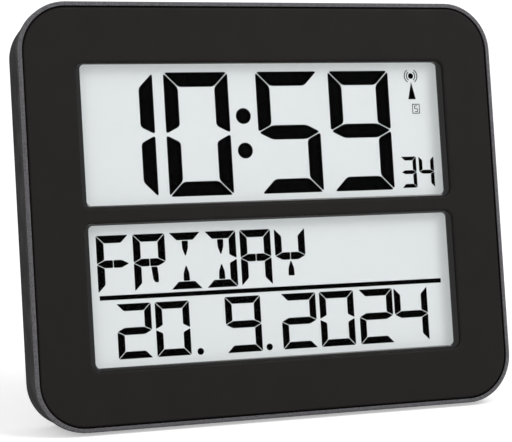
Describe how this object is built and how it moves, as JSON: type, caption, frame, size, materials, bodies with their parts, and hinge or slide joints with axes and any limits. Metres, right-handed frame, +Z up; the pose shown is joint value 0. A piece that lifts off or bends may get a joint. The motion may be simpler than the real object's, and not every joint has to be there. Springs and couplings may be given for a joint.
{
  "type": "dementia day clock",
  "caption": "Free-standing digital day clock: flat black face with two display windows in a leaning case with a fold-out stand leg.",
  "frame": {"origin": "on the table under the middle of the object's bounding box, with the stand leg open", "axes": "+X to the right of someone facing the display, +Y towards the back, +Z up"},
  "size_m": [0.225, 0.0586, 0.184],
  "materials": {
    "frame_grey": "fine satin texture, moulded anthracite grey",
    "face_black": "smooth satin black",
    "clear_pane": "clear polished acrylic",
    "holder_grey": "light grey moulded",
    "cover_black": "satin moulded black with fine spark texture",
    "display_film": "pale grey polarising film with black segments",
    "display_glass": "float glass",
    "reflector_foil": "matt silver foil",
    "strip_rubber": "layered conductive silicone",
    "board_green": "green solder resist on glass laminate",
    "resin_black": "matt black resin",
    "crystal_can": "plated can",
    "capacitor_sleeve": "dark blue sleeve",
    "plunger_black": "black nylon",
    "button_black": "satin moulded black",
    "ferrite": "sintered dark grey",
    "coil_copper": "enamelled copper wire under lacquer",
    "lead_white": "white insulation",
    "lead_black": "black insulation",
    "lead_red": "red insulation",
    "contact_nickel": "nickel plated spring steel",
    "cell_jacket": "plain grey printed jacket",
    "screw_steel": "zinc plated"
  },
  "bodies": {
    "case": {"front_frame": "frame_grey", "face_panel": "face_black", "lcd_holder": "holder_grey", "main_board": "board_green", "rear_cover": "cover_black", "time_window": "clear_pane", "time_connector_strip": "strip_rubber", "time_lcd_polariser": "display_film", "time_lcd_glass": "display_glass", "time_lcd_reflector": "reflector_foil", "date_window": "clear_pane", "date_connector_strip": "strip_rubber", "date_lcd_polariser": "display_film", "date_lcd_glass": "display_glass", "date_lcd_reflector": "reflector_foil", "driver_chip_cap": "resin_black", "quartz_crystal": "crystal_can", "capacitors": "capacitor_sleeve", "switch_bodies": "resin_black", "ferrite_rod": "ferrite", "antenna_coil": "coil_copper", "receiver_board": "board_green", "receiver_chip": "resin_black", "case_screws": "screw_steel", "holder_screws": "screw_steel", "board_screws": "screw_steel", "receiver_screws": "screw_steel", "upper_cell": "cell_jacket", "lower_cell": "cell_jacket", "negative_spring": "contact_nickel", "positive_plate": "contact_nickel", "link_contact": "contact_nickel", "black_battery_lead": "lead_black", "red_battery_lead": "lead_red", "antenna_leads": "lead_white", "receiver_leads": "lead_white"},
    "battery_door": {"battery_door": "cover_black"},
    "stand": {"stand_leg": "cover_black"},
    "button_mode": {"button_mode": "button_black", "switch_plunger_mode": "plunger_black"},
    "button_set": {"button_set": "button_black", "switch_plunger_set": "plunger_black"},
    "button_up": {"button_up": "button_black", "switch_plunger_up": "plunger_black"},
    "button_down": {"button_down": "button_black", "switch_plunger_down": "plunger_black"},
    "button_signal": {"button_signal": "button_black", "switch_plunger_signal": "plunger_black"}
  },
  "joints": [
    {"name": "stand_hinge", "type": "hinge", "parent": "case", "child": "stand", "pos_m": [0, -0.00233, 0.01278], "axis": [1, 0, 0], "range_deg": [0, 100.64]},
    {"name": "battery_door_hinge", "type": "hinge", "parent": "case", "child": "battery_door", "pos_m": [0, 0.01197, 0.08145], "axis": [1, 0, 0], "range_deg": [0, 70]},
    {"name": "button_mode_press", "type": "slide", "parent": "case", "child": "button_mode", "axis": [0, -0.9854, 0.1702], "range_m": [0, 0.0006], "stiffness_N_per_m": 800, "springref_m": -0.001},
    {"name": "button_set_press", "type": "slide", "parent": "case", "child": "button_set", "axis": [0, -0.9854, 0.1702], "range_m": [0, 0.0006], "stiffness_N_per_m": 800, "springref_m": -0.001},
    {"name": "button_up_press", "type": "slide", "parent": "case", "child": "button_up", "axis": [0, -0.9854, 0.1702], "range_m": [0, 0.0006], "stiffness_N_per_m": 800, "springref_m": -0.001},
    {"name": "button_down_press", "type": "slide", "parent": "case", "child": "button_down", "axis": [0, -0.9854, 0.1702], "range_m": [0, 0.0006], "stiffness_N_per_m": 800, "springref_m": -0.001},
    {"name": "button_signal_press", "type": "slide", "parent": "case", "child": "button_signal", "axis": [0, -0.9854, 0.1702], "range_m": [0, 0.0006], "stiffness_N_per_m": 800, "springref_m": -0.001}
  ]
}
